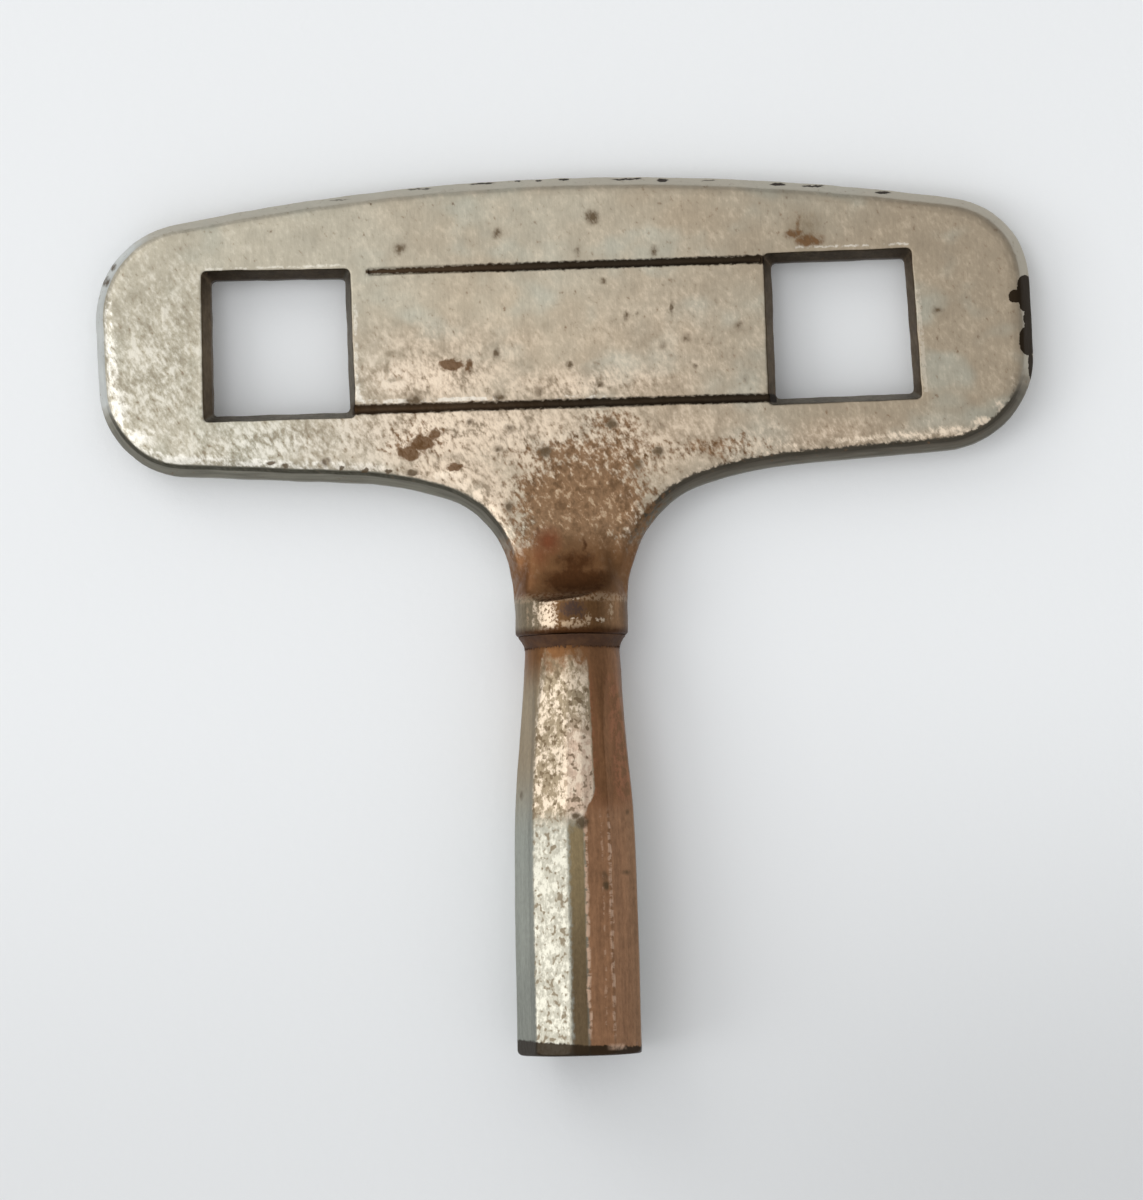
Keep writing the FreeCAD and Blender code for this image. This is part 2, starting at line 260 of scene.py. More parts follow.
class KeyColours(bpy.types.PropertyGroup):
    """Colours of the key's metal, in linear light."""

    plating: colour("Plating", "Dull nickel plating", (0.48, 0.44, 0.35))
    cool_plating: colour("Cool plating", "Plating with a grey green cast", (0.465, 0.45, 0.37))
    warm_plating: colour("Warm plating", "Plating that has yellowed", (0.43, 0.355, 0.26))
    # Polish: also the painted highlight along the bow's rims and edges.
    polish_and_highlight: colour("Polish", "Plating that is rubbed bright", (0.86, 0.83, 0.75))
    # Soft rim: a painted highlight beside the right window.
    soft_rim_highlight: colour("Soft rim", "Rubbed plating along the right end", (0.62, 0.55, 0.45))
    # Cream: also the painted highlight along the rims towards the right.
    cream: colour("Cream", "Flecks of thin plating", (0.83, 0.7, 0.55))
    tan: colour("Tan", "Dirt between the flecks", (0.53, 0.4, 0.29))
    olive_ground: colour("Olive ground", "Plating between the flecks on the left", (0.42, 0.39, 0.3))
    # Grime: also painted shade on the barrel's far right side.
    grime_and_shade: colour("Grime", "Grey brown pits", (0.22, 0.175, 0.115))
    # Pale wall: painted light on the walls that face left.
    pale_wall_painted_light: colour("Pale wall", "Grey metal on the left edge", (0.6, 0.61, 0.585))
    # Dull edge: plating made a little lighter, painted light on the far and right edges.
    edge_painted_light: colour("Dull edge", "Plating on the far and right edges", (0.5, 0.465, 0.39))
    # Wall: grey metal that also carries painted shade on the walls facing down, and painted light on some
    # window walls.
    wall: colour("Wall", "Dull grey metal on the lower edge", (0.2, 0.19, 0.155))
    brown_wall: colour("Brown wall", "Browned metal on the edges", (0.1, 0.085, 0.066))
    dark_wall: colour("Dark wall", "Dirty metal inside the windows", (0.13, 0.095, 0.06))
    # Crease: dirt and painted shade along the filed edge.
    crease_dirt_and_shade: colour("Crease", "Dirt along the filed edge", (0.035, 0.032, 0.02))
    spot: colour("Spot", "Small spots on the plating", (0.11, 0.075, 0.042))
    stain: colour("Stain", "Thin rust that the plating shows through", (0.25, 0.142, 0.072))
    # Light stain: also a painted highlight along the collar's top rim.
    stain_light_and_highlight: colour("Light stain", "Plating that shows through the thin rust", (0.44, 0.32, 0.21))
    neck_brown: colour("Neck brown", "Rust on both sides of the neck's foot", (0.21, 0.1, 0.042))
    red_rust: colour("Red rust", "Red rust at the top of the hollow", (0.17, 0.05, 0.022))
    # Collar bright: worn places with painted glints.
    collar_worn_and_glint: colour("Collar bright", "Worn place on the collar", (0.7, 0.57, 0.43))
    bare_purple: colour("Bare metal", "Bare patch on the collar", (0.075, 0.047, 0.037))
    rust: colour("Rust", "Red brown rust", (0.15, 0.078, 0.034))
    groove_dirt: colour("Groove dirt", "Dirt along the grooves", (0.02, 0.012, 0.006))
    # Deep rust: also painted shade in the hollow above the collar and under the collar.
    deep_rust_and_shade: colour("Deep rust", "Dark rust in hollows", (0.06, 0.024, 0.009))
    # Bare iron: also painted shade on the mouth's rim.
    bare_iron_and_shade: colour("Bare iron", "Metal where the plating has chipped off", (0.032, 0.022, 0.013))
    facet: colour("Facet", "Grey metal on the barrel's left side", (0.345, 0.355, 0.31))
    pale_facet: colour("Pale facet", "Plating on the bright flat", (0.42, 0.4, 0.33))
    bright_facet: colour("Bright facet", "Flecks on the bright flat", (0.62, 0.6, 0.51))
    top_ground: colour("Top ground", "Worn plating on the barrel's upper half", (0.34, 0.27, 0.18))
    pink_ground: colour("Pink ground", "Plating that copper shines through", (0.66, 0.5, 0.38))
    top_pit: colour("Top pit", "Pits on the barrel's upper half", (0.17, 0.12, 0.07))
    copper: colour("Copper tint", "Brown where the plating is worn down to copper", (0.325, 0.175, 0.095))
    # Copper light: rubbed ridges with a painted highlight, and a painted glint on the mouth's rim.
    copper_rub_and_highlight: colour("Copper light", "Rubbed ridges in the brown", (0.66, 0.45, 0.32))
    faded_copper: colour("Faded copper", "Brown on the barrel's upper right", (0.33, 0.145, 0.075))
    dark_brown: colour("Dark brown", "The darkest brown on the barrel", (0.225, 0.112, 0.054))
    olive: colour("Olive tint", "Dark film on the barrel's narrow flat", (0.125, 0.088, 0.05))
    pale_olive: colour("Pale olive", "Film on the narrow flat's upper part", (0.23, 0.175, 0.095))
    braze: colour("Braze", "Tarnished brazing metal", (0.1, 0.045, 0.018))


class StageSettings(bpy.types.PropertyGroup):
    """The floor and the light."""

    paper: colour("Paper", "Pale floor under the key", (0.89, 0.91, 0.925))
    soft_power: power("Soft lamp power", "Power of the large lamp overhead", 0.75)
    window_power: power("Window power", "Power of the large lamp on the left", 1.25)
    far_power: power("Far lamp power", "Power of the lamp beyond the bow", 0.9)
    sky: bpy.props.FloatProperty(name="Sky", description="Strength of the light all round", default=1.0)


def arithmetic(operation):
    """The methods for one of Python's operators, with the signal before it and with the signal after it."""

    def before(signal, other):
        return signal.maths(operation, signal, other)

    def after(signal, other):
        return signal.maths(operation, other, signal)

    return before, after


class Signal:
    """A socket in a finish's node tree. Python's arithmetic on it adds Math nodes."""

    __add__, __radd__ = arithmetic("ADD")
    __sub__, __rsub__ = arithmetic("SUBTRACT")
    __mul__, __rmul__ = arithmetic("MULTIPLY")

    def __init__(self, finish, socket):
        self.finish = finish
        self.socket = socket

    def maths(self, operation, *values):
        return self.finish.node("ShaderNodeMath", values, operation=operation)

    def __abs__(self):
        return self.maths("ABSOLUTE", self)

    def larger(self, other):
        return self.maths("MAXIMUM", self, other)

    def smaller(self, other):
        return self.maths("MINIMUM", self, other)

    def clamped(self):
        return self.larger(0).smaller(1)

    def rise(self, low, high):
        """Climbs smoothly from 0 where the signal is at low to 1 where it is at high."""
        values = (self, low, high, 0, 1)
        return self.finish.node("ShaderNodeMapRange", values, interpolation_type="SMOOTHSTEP")


class Nodes:
    """A node tree that is built by Python expressions."""

    def __init__(self, owner):
        owner.use_nodes = True
        self.tree = owner.node_tree
        self.tree.nodes.clear()

    def node(self, kind, values=(), output=0, **settings):
        """Adds a node: its settings, then its sockets' values or links. Gives one of its outputs."""
        made = self.tree.nodes.new(kind)
        for name, value in settings.items():
            setattr(made, name, value)
        sockets = values.items() if isinstance(values, dict) else enumerate(values)
        for key, value in sockets:
            socket = made.inputs[key]
            if isinstance(value, Signal):
                self.tree.links.new(value.socket, socket)
            elif socket.type == "RGBA":
                socket.default_value = (*value, 1)
            else:
                socket.default_value = value
        return Signal(self, made.outputs[output]) if made.outputs else None

    def vector(self, operation, *values, scale=None, output=0):
        """A Vector Math node."""
        sockets = dict(enumerate(values))
        if scale is not None:
            sockets["Scale"] = scale
        return self.node("ShaderNodeVectorMath", sockets, output=output, operation=operation)

    def parts(self, vector):
        """The three parts of a vector."""
        first = self.node("ShaderNodeSeparateXYZ", (vector,))
        return [Signal(self, socket) for socket in first.socket.node.outputs]

    def blend(self, share, first, second):
        """The second colour over the first, by a share from 0 to 1."""
        return self.node("ShaderNodeMix", {0: share, 6: first, 7: second}, output=2, data_type="RGBA")


class Finish(Nodes):
    """A material of procedural nodes that read the piece's own coordinates, in millimetres."""

    def __init__(self, name, tone, roughness=0.45, metallic=1):
        self.material = bpy.data.materials.new(name)
        super().__init__(self.material)
        here = self.node("ShaderNodeTexCoord", output="Object")
        self.place = self.vector("SCALE", here, scale=1 / MM)
        self.x, self.y, self.z = self.parts(self.place)
        self.facing = self.parts(self.node("ShaderNodeTexCoord", output="Normal"))
        self.tone = tone
        self.roughness = roughness
        self.metallic = metallic
        self.height = 0

    def noise(self, stretch, detail=2, roughness=0.5, shift=0, place=None, output=0):
        """Noise round 0.5, with so many cycles to the millimetre along each axis."""
        where = self.vector("MULTIPLY_ADD", place or self.place, stretch, (shift, shift / 2, -shift))
        sockets = {"Vector": where, "Scale": 1, "Detail": detail, "Roughness": roughness}
        return self.node("ShaderNodeTexNoise", sockets, output=output)

    def wander(self, amount, per_mm, shift=0):
        """The place, pushed about by noise, so that what is drawn there has ragged edges."""
        stretch = (per_mm, per_mm, per_mm)
        noise = self.noise(stretch, detail=3, roughness=0.6, shift=shift, output="Color")
        push = self.vector("SUBTRACT", noise, (0.5, 0.5, 0.5))
        return self.vector("ADD", self.place, self.vector("SCALE", push, scale=2 * amount))

    def marks(self, place, ovals, blur):
        """Oval marks (x, y, half width, half height, strength) that fade out over a blur at their rims."""
        total = 0
        for x, y, wide, high, strength in ovals:
            offset = self.vector("MULTIPLY_ADD", place, (1 / wide, 1 / high, 0), (-x / wide, -y / high, 0))
            radius = self.vector("LENGTH", offset, output="Value")
            mark = self.node("ShaderNodeMapRange", (radius, 1 + blur, 1 - blur, 0, strength))
            total = mark.larger(total)
        return total

    def rectangle(self, x, y, left, right, low, high, blur):
        """1 inside a rectangle, falling to 0 over a blur outside it."""
        across = abs(x - (left + right) / 2).rise((right - left) / 2 + blur, (right - left) / 2)
        along = abs(y - (low + high) / 2).rise((high - low) / 2 + blur, (high - low) / 2)
        return across * along

    def uneven(self, marks, gain, noise, amount):
        """Marks made stronger, and uneven by noise."""
        return marks * gain + (noise - 0.5) * marks * amount

    def scaled(self, tone, scale):
        """A tone made lighter or darker."""
        return self.vector("SCALE", tone, scale=scale)

    def shaded(self, tone, noise, contrast):
        """A tone that noise makes lighter and darker by about the contrast."""
        return self.scaled(tone, 1 + (noise - 0.5) * (contrast * 5))

    def cover(self, share, tone, roughness=0.5, height=0):
        """Lays another finish over this one, by a share from 0 to 1. Its height is in millimetres."""
        self.tone = self.blend(share, self.tone, tone)
        self.roughness = self.roughness + (roughness - self.roughness) * share
        if height:
            self.height = self.height + share * height

    def flecks(self, share, fine, patches, ground, fleck, pit):
        """Worn plating: flecks and pits on a dirty ground, as strong as the share from 0 to 1."""
        field = fine * 0.62 + patches * 0.38
        self.cover(share * 0.75, self.shaded(ground, patches, 0.16))
        self.cover(field.rise(0.48, 0.38) * share * 0.65, pit)
        start = 0.54 - 0.11 * share
        self.cover(field.rise(start - 0.03, start + 0.13) * (share * 0.7 + 0.15).clamped(), fleck, 0.42)
        self.height = self.height + field * share * 0.05

    def done(self):
        """Joins the layers to the shader and gives the material."""
        relief = self.node("ShaderNodeBump", {"Strength": 1, "Distance": MM, "Height": self.height})
        values = {
            "Base Color": self.tone,
            "Roughness": self.roughness,
            "Metallic": self.metallic,
            "Normal": relief,
        }
        shader = self.node("ShaderNodeBsdfPrincipled", values)
        self.node("ShaderNodeOutputMaterial", {"Surface": shader})
        return self.material


class BowFinish(Finish):
    """Dull nickel plating with flecks, stains, chips and dirty grooves, for the whole forged handle, with
    painted highlights along its rims and painted light and shade on its faces and walls.
    """

    def __init__(self, colours):
        super().__init__("worn_nickel_plating", colours.plating)
        self.up = abs(self.facing[2])
        self.level = abs(self.z)
        self.front = self.z.rise(-0.3, 0.3)
        self.near = self.wander(0.16, 2.4)
        self.near_x, self.near_y = self.parts(self.near)[:2]
        self.wider = self.wander(0.28, 1.7, shift=9)
        self.far = self.wander(1, 0.45, shift=7)
        slant = {"Vector": self.place, "Angle": -0.55}
        turned = self.node("ShaderNodeVectorRotate", slant, rotation_type="Z_AXIS")
        self.fine = self.noise((3.3, 1.7, 3.3), detail=3, roughness=0.64, place=turned)
        self.patches = self.noise((0.65, 0.55, 0.65), detail=3, roughness=0.55, shift=27)
        self.speckle = self.noise((2.8, 2.4, 2.8), detail=2, roughness=0.6, shift=19)
        self.grain = self.noise((5, 1.2, 5), shift=3)
        self.mottle = self.noise((1.7, 1.4, 1.7), detail=4, roughness=0.7, shift=63)
        self.plating(colours)
        self.edges(colours)
        self.windows(colours)
        self.rubbed_rims_and_highlights(colours)
        self.marked(colours)
        self.neck(colours)
        self.grooves(colours)
        self.collar(colours)
        chips = self.marks(self.near, END_CHIPS, 0.08).larger(self.marks(self.near, CROWN_CHIPS, 0.3))
        self.cover(chips.rise(0.3, 0.7) * self.front, colours.bare_iron_and_shade, height=-0.03)

    def plating(self, colours):
        """Plating, yellower towards the right, that is rubbed to flecks in places. Painted shade darkens it
        towards the right end and painted light brightens its lower left end.
        """
        clouds = self.noise((0.11, 0.13, 0.2), detail=3, roughness=0.6)
        yellowed = (clouds * 1.2 + self.x * 0.014).rise(0.25, 1)
        self.tone = self.blend(yellowed, colours.plating, colours.warm_plating)
        cool = self.noise((0.2, 0.24, 0.2), detail=2, shift=51).rise(0.5, 0.66)
        self.tone = self.blend(cool * 0.8, self.tone, colours.cool_plating)
        # Painted shade darkens the face towards the right end and painted light brightens the lower left end;
        # the face is also made lighter along the middle of the top.
        shade = 1 - 0.13 * self.x.rise(6, 16)
        shade = shade + 0.12 * self.x.rise(-13, -23) * self.y.rise(51, 45)
        shade = shade + 0.1 * abs(self.x + 4).rise(12, 3) * self.y.rise(53, 50)
        light = (0.56 + 0.16 * self.grain + 0.42 * self.patches + 0.3 * self.fine) * shade
        self.tone = self.scaled(self.tone, light)
        self.roughness = 0.38 + 0.2 * self.noise((0.6, 0.4, 0.6), shift=11)
        self.height = 0.012 * self.grain
        rubbed_back = self.noise((0.09, 0.09, 0.09), shift=31).rise(0.48, 0.66) * (1 - self.front) * 0.7
        rubbed = self.marks(self.far, RUBBED, 0.75) * self.front + rubbed_back
        fleck = self.blend(self.x.rise(-20, -8), colours.polish_and_highlight, colours.cream)
        ground = self.blend(self.x.rise(-22, -10), colours.olive_ground, colours.tan)
        self.flecks(rubbed, self.fine, self.patches, ground, fleck, colours.grime_and_shade)

    def edges(self, colours):
        """The bow's outer walls, coloured by the way they face: pale with painted light on the left, a little
        lighter with painted light on the far and right edges, grey to brown with painted shade below, and
        dirt and painted shade along the filed edge.
        """
        facing_x, facing_y = self.facing[:2]
        below = facing_y.rise(-0.1, -0.45)
        leftwards = facing_x.rise(-0.25, -0.55) * (1 - below)
        rest = (1 - below) * (1 - leftwards)
        self.inside = 0
        for left, right, low, high in WINDOWS:
            self.inside = self.rectangle(self.x, self.y, left, right, low, high, 0.1).larger(self.inside)
        self.outside = 1 - self.rectangle(self.x, self.y, *FRAMED, 0.2)
        wall = self.up.rise(0.78, 0.66)
        outer = wall * (1 - self.inside)
        # Painted light: the walls that face left are pale.
        self.cover(outer * leftwards, self.shaded(colours.pale_wall_painted_light, self.patches, 0.1), 0.42)
        # Painted light: the walls on the far and right edges are a little lighter than the face.
        self.cover(self.up.rise(0.97, 0.6) * rest * self.outside * 0.75, colours.edge_painted_light, 0.42)
        filing = self.noise((0.4, 0.4, 5), detail=2, shift=41)
        browner = self.x.rise(-13, 2)
        tone = self.blend(browner * (0.4 + 0.6 * self.level.rise(0.3, 1.1)), colours.wall, colours.brown_wall)
        ragged = (self.level + (self.fine - 0.5) * 0.4 * browner).rise(1.37, 1.29) * self.up.rise(0.97, 0.9)
        # The walls that face down are dark grey to brown: painted shade over filed grey metal.
        self.cover(ragged * below * self.outside, self.shaded(tone, filing, 0.2), 0.45)
        # Dirt and painted shade in the crease along the filed edge, strongest on the walls that face down.
        crease_dirt_and_shade = self.level.rise(0.96, 1.06) * self.level.rise(1.32, 1.24) * self.outside
        dirt = below * (0.95 - 0.4 * browner) + leftwards * 0.08
        self.cover(crease_dirt_and_shade * dirt * (0.6 + 0.8 * (self.fine - 0.3)).clamped(), colours.crease_dirt_and_shade)

    def windows(self, colours):
        """Dirty walls inside the windows, darkest at the top, where painted shade darkens the walls that face
        down; painted light makes the walls that face up and the left window's right wall lighter grey.
        """
        facing_y = self.facing[1]
        wall = self.up.rise(0.8, 0.7) * self.inside
        # Painted light: lighter grey on the walls that face up and on the left window's right wall.
        grey = facing_y.rise(0.2, 0.6).larger(self.facing[0].rise(-0.2, -0.6) * self.x.rise(0, -1))
        tone = self.blend(grey * 0.5, colours.dark_wall, colours.wall)
        tone = self.shaded(tone, self.patches * 0.5 + self.fine * 0.5, 0.45)
        # Painted shade: darker on the walls that face down, at the top of each window.
        tone = self.scaled(tone, 1 - 0.55 * facing_y.rise(-0.2, -0.7))
        self.cover(wall, tone, 0.5)

    def rubbed_rims_and_highlights(self, colours):
        """Bright ragged rims along the left and lower edges and round the windows, with dark notches: a
        painted highlight over rubbed plating, where the rims face the lower left.
        """
        facing_x, facing_y = self.facing[:2]
        # Painted highlight: the rim is lit where it faces left and down.
        rim = self.up.rise(0.9993, 0.986) * self.level.rise(1.26, 1.36)
        lit = (facing_x * -0.75 - facing_y * 0.65).rise(0.03, 0.1) * self.y.rise(52.2, 50.6) * self.outside
        field = self.fine * 0.7 + self.speckle * 0.3 - 0.5
        strength = 0.5 + 0.5 * self.x.rise(-8, -16)
        wide = self.marks(self.near, BRIGHT_PATCHES, 0.6) * self.level.rise(1.26, 1.36) * self.front
        bright = ((rim * lit * strength * 0.62).larger(wide) + field * 3.4).rise(0.3, 1.15)
        bright = bright * (rim * lit).larger(wide)
        tone = self.blend(self.x.rise(-18, -6), colours.polish_and_highlight, colours.cream)
        self.cover(bright * 0.92, self.shaded(tone, self.fine, 0.14), 0.4)
        # Painted highlights, partly rubbed bright, along edges round the windows and grooves.
        for left, right, low, high, strength in BRIGHT_LINES:
            line = self.rectangle(self.near_x, self.near_y, left, right, low, high, 0.07)
            broken = (self.speckle * 0.5 + self.patches * 0.5).rise(0.44, 0.56)
            self.cover(line * broken * strength * self.front, colours.polish_and_highlight, 0.4)
        # A painted highlight along the edge beside the right window.
        middle, lean, *sides = LEANING_LINE
        leaning = self.near_x + (self.near_y - middle) * lean
        line = self.rectangle(leaning, self.near_y, *sides, 0.1)
        self.cover(line * self.speckle.rise(0.36, 0.5) * self.front * 0.5, colours.soft_rim_highlight, 0.4)
        self.cover(self.soft_marks(NOTCHES, 0.5) * 0.9, colours.spot)

    def soft_marks(self, ovals, blur=0.6):
        """Soft, uneven marks on the front."""
        marks = self.marks(self.wider, ovals, blur)
        return self.uneven(marks, 1.3, self.fine, 3).rise(0.15, 1.1) * self.front

    def marked(self, colours):
        """Spots, blurs, stains and rust."""
        stain_back = self.marks(self.far, BACK_PATCHES, 0.5) * (1 - self.front)
        stain = self.marks(self.far, STAIN, 0.5) * self.front + stain_back
        thin = self.blend(self.mottle.rise(0.54, 0.38), colours.stain, colours.rust)
        showing = (self.mottle * 0.5 + self.fine * 0.5).rise(0.53, 0.62) * 0.8
        thin = self.blend(showing, thin, colours.stain_light_and_highlight)
        share = (stain * 1.7 + (self.speckle - 0.5) * 1.2 - (self.fine - 0.5) * 3).rise(0.3, 1.2)
        self.cover(share * 0.92, self.shaded(thin, self.fine, 0.24))
        self.cover(self.soft_marks(BLURS) * 0.8, colours.grime_and_shade)
        rust = self.marks(self.wider, RUST_PATCHES, 0.45) * 1.4
        rust = rust + (self.speckle * 0.5 + self.fine * 0.5 - 0.5) * 2.2
        rust = rust.rise(0.5, 1.05) * self.front
        rust = rust.larger(stain_back * self.speckle.rise(0.5, 0.6)) * 0.9
        self.cover(rust, self.shaded(colours.rust, self.fine, 0.2), 0.6, height=0.008)
        self.cover(self.soft_marks(SMEAR) * 0.9, self.shaded(colours.rust, self.fine, 0.2))
        self.cover(self.soft_marks(DARK_SPOTS, 0.85) * 0.92, colours.spot)

    def neck(self, colours):
        """Dark rust and painted shade in the hollow that leads from the face down to the collar."""
        foot = self.near_y.rise(34.6, 32.6) * self.front
        self.cover(foot * 0.8, self.shaded(colours.neck_brown, self.mottle, 0.16), 0.45)
        # Painted shade and dark rust in the hollow, which faces away from the light.
        hollow = self.marks(self.wider, HOLLOW, 0.75) * self.front
        hollow = self.uneven(hollow, 1.25, self.mottle, 1.6).clamped()
        tone = self.blend(hollow.rise(0.3, 0.95), colours.rust, colours.deep_rust_and_shade)
        self.cover(hollow * 0.95, self.shaded(tone, self.speckle, 0.12), 0.5)
        red = self.marks(self.wider, RED_RUST, 0.7) * self.front
        self.cover(red * 0.8, self.shaded(colours.red_rust, self.fine, 0.12), 0.5)

    def grooves(self, colours):
        """Dark ragged lines of dirt along the two grooves."""
        for groove_y, left, right, half_left, half_right in (GROOVE_TOP, GROOVE_LOW):
            half = half_left + (half_right - half_left) * self.x.rise(left, left + 10)
            half = half + (self.speckle - 0.5) * 0.35
            long = (right - left) / 2
            line = abs(self.y - groove_y).rise(half + 0.12, half - 0.04)
            line = line * abs(self.x - (left + right) / 2).rise(long + 0.1, long)
            tint = self.blend(self.x.rise(2, -10) * 0.2, colours.groove_dirt, colours.rust)
            self.cover(line * self.up.rise(0, 0.2) * 0.97, tint)

    def collar(self, colours):
        """Vertical streaks, a bright worn place with painted glints and a bare one on the collar, a painted
        highlight on its top rim, and dirt and painted shade under it.
        """
        streaks = self.noise((4.2, 0.4, 4.2), detail=3, roughness=0.6, shift=33)
        beads = self.noise((5.5, 4.5, 5.5), detail=2, roughness=0.6, shift=37)
        collar = self.near_y.rise(30.35, 30)
        tone = self.blend(self.x.rise(-0.8, -2.4), colours.rust, colours.grime_and_shade)
        tone = self.blend(self.x.rise(1.8, 2.6) * self.x.rise(3.6, 3.1), tone, colours.stain)
        self.cover(collar, self.scaled(tone, 0.3 + 0.8 * streaks + 0.6 * beads), 0.42)
        # Painted highlight along the collar's top rim.
        lip_highlight = self.near_y.rise(29.75, 30) * self.near_y.rise(30.6, 30.2) * self.front
        self.cover(lip_highlight * 0.55 * beads.rise(0.4, 0.55), colours.stain_light_and_highlight, 0.4)
        # The bright places are worn plating with painted glints.
        for places, colour_here, amount in (
            (COLLAR_BARE, colours.bare_purple, 3),
            (COLLAR_GREY, colours.stain_light_and_highlight, 5),
            (COLLAR_WORN_AND_GLINTS, colours.collar_worn_and_glint, 5.5),
        ):
            share = self.uneven(self.marks(self.near, places, 0.6), 1.2, beads, amount).rise(0.3, 1.2)
            self.cover(share * self.front * 0.92, colour_here, 0.38)
        # Dirt and painted shade under the collar.
        self.cover(self.near_y.rise(28.4, 27.85) * 0.95, self.shaded(colours.deep_rust_and_shade, beads, 0.2))


class BarrelFinish(Finish):
    """The barrel's plating: grey and bright on the left, brown on the right, black at the mouth, with painted
    shade towards the mouth and the far right and painted highlights on its ridges.
    """

    def __init__(self, colours):
        super().__init__("stained_barrel_plating", colours.facet)
        self.angle = self.node("ShaderNodeMath", (self.x, self.z), operation="ARCTAN2") * math.degrees(1)
        self.near = self.wander(0.12, 2.2)
        self.near_y = self.parts(self.near)[1]
        self.fine = self.noise((4.6, 2.6, 4.6), detail=2, roughness=0.6, shift=2)
        self.pits = self.noise((3.4, 2.8, 3.4), detail=1, shift=72)
        self.blotches = self.noise((1.7, 1.5, 1.7), detail=3, roughness=0.62, shift=15)
        self.streaks = self.noise((2, 0.14, 2), detail=4, roughness=0.68, shift=5)
        self.clusters = self.noise((0.8, 0.6, 0.8), detail=2, shift=81)
        self.frayed = self.angle + (self.fine - 0.5) * 7
        self.back = self.frayed.rise(128, 132).larger(self.frayed.rise(-140, -144))
        self.sides(colours)
        self.bright_flat(colours)
        self.bright_top(colours)
        self.browned(colours)
        self.olive_flat(colours)
        self.ridges(colours)
        self.ends(colours)

    def sides(self, colours):
        """Dull grey below and brown above, all round, with painted shade towards the mouth."""
        self.tone = self.blend(self.near_y.rise(14, 20), self.tone, colours.top_ground)
        self.tone = self.blend(self.near_y.rise(23.5, 26.5), self.tone, colours.neck_brown)
        # Painted shade: darker towards the mouth; also darker along the ridge at the left of the bright flat.
        darkening = (1 - 0.16 * abs(self.angle + 46.5).rise(6, 2)) * (1 - 0.18 * self.y.rise(9, 3))
        self.tone = self.scaled(self.tone, (0.5 + 0.56 * self.streaks + 0.44 * self.fine) * darkening)
        self.roughness = 0.36 + 0.16 * self.noise((0.8, 0.3, 0.8), shift=13)
        self.height = 0.012 * self.streaks + 0.015 * self.fine

    def speckled(self, share, ground, light, dark):
        """A ground with light flecks and dark pits, by a share from 0 to 1."""
        self.cover(share, self.shaded(ground, self.fine, 0.12), 0.42)
        spread = (self.clusters - 0.5) * 0.35
        flecks = self.blotches * 0.6 + self.fine * 0.4 + spread
        self.cover(share * flecks.rise(0.45, 0.59) * 0.85, light, 0.4)
        pits = self.blotches * 0.3 + self.pits * 0.7 + spread
        self.cover(share * pits.rise(0.46, 0.34) * 0.85, dark, 0.5)

    def bright_flat(self, colours):
        """The bright flat on the left of the lower half, and its twins at the back."""
        band = self.frayed.rise(-42.5, -39.5) * self.frayed.rise(-3.5, -6.5)
        share = band.larger(self.back) * (self.near_y + (self.blotches - 0.5) * 6).rise(17.6, 14)
        self.speckled(share, colours.pale_facet, colours.bright_facet, colours.grime_and_shade)

    def bright_top(self, colours):
        """The cream, pitted plating of the upper half, which thins out towards the collar."""
        left = (self.frayed - self.y.rise(21, 26.5) * 6).rise(-44.5, -40)
        band = left * (self.frayed * 0.6 + self.angle * 0.4).rise(22.5, 20)
        lower = self.angle.rise(-2, -5) * self.y.rise(14.6, 16.6)
        band = band * self.near_y.rise(15, 16.4).larger(lower)
        share = band.larger(self.back * self.near_y.rise(15, 16.5))
        share = share * (self.near_y + (self.blotches - 0.5) * 5).rise(26.6, 24.4)
        pink = self.angle.rise(-12, 2) * self.y.rise(23, 20)
        ground = self.blend(pink, colours.top_ground, colours.pink_ground)
        self.speckled(share, ground, colours.cream, colours.top_pit)

    def browned(self, colours):
        """The right side, worn down to brown: streaked below, dark and patchy above, with painted shade
        towards the far right.
        """
        upper = self.near_y.rise(15.6, 17.5)
        edge = 11.5 + 11 * upper
        share = (self.frayed * 0.5 + self.angle * 0.5 - edge).rise(-1, 1)
        share = share.larger(self.near_y.rise(25, 26.8) * self.angle.rise(2, 32))
        share = share * (self.frayed + self.blotches * 20).rise(135, 105)
        dusk = abs(self.frayed - 36).rise(17, 4) * upper
        tone = self.blend(upper * 0.9, colours.copper, colours.faded_copper)
        tone = self.blend((self.blotches + self.fine * 0.4).rise(0.62, 0.8) * upper * 0.7, tone, colours.rust)
        tone = self.blend(dusk, tone, colours.dark_brown)
        # Painted shade: darker towards the far right side.
        tone = self.blend(self.angle.rise(50, 78) * 0.25, tone, colours.grime_and_shade)
        tone = self.blend(self.near_y.rise(23.5, 26.5), tone, colours.dark_brown)
        light = 0.95 * self.streaks + 0.5 * self.fine + 0.55 * self.blotches
        self.cover(share, self.scaled(tone, light), 0.42)

    def olive_flat(self, colours):
        """The narrow flat under a dark film, darkest at the mouth."""
        along = (self.near_y + (self.blotches - 0.5) * 2).rise(16, 14.6)
        share = self.frayed.rise(-6, -1.5) * self.angle.rise(13.5, 8.5) * along
        tone = self.blend(self.y.rise(3, 14), colours.olive, colours.pale_olive)
        self.cover(share, self.scaled(tone, 0.4 + 0.7 * self.streaks + 0.5 * self.fine), 0.42)

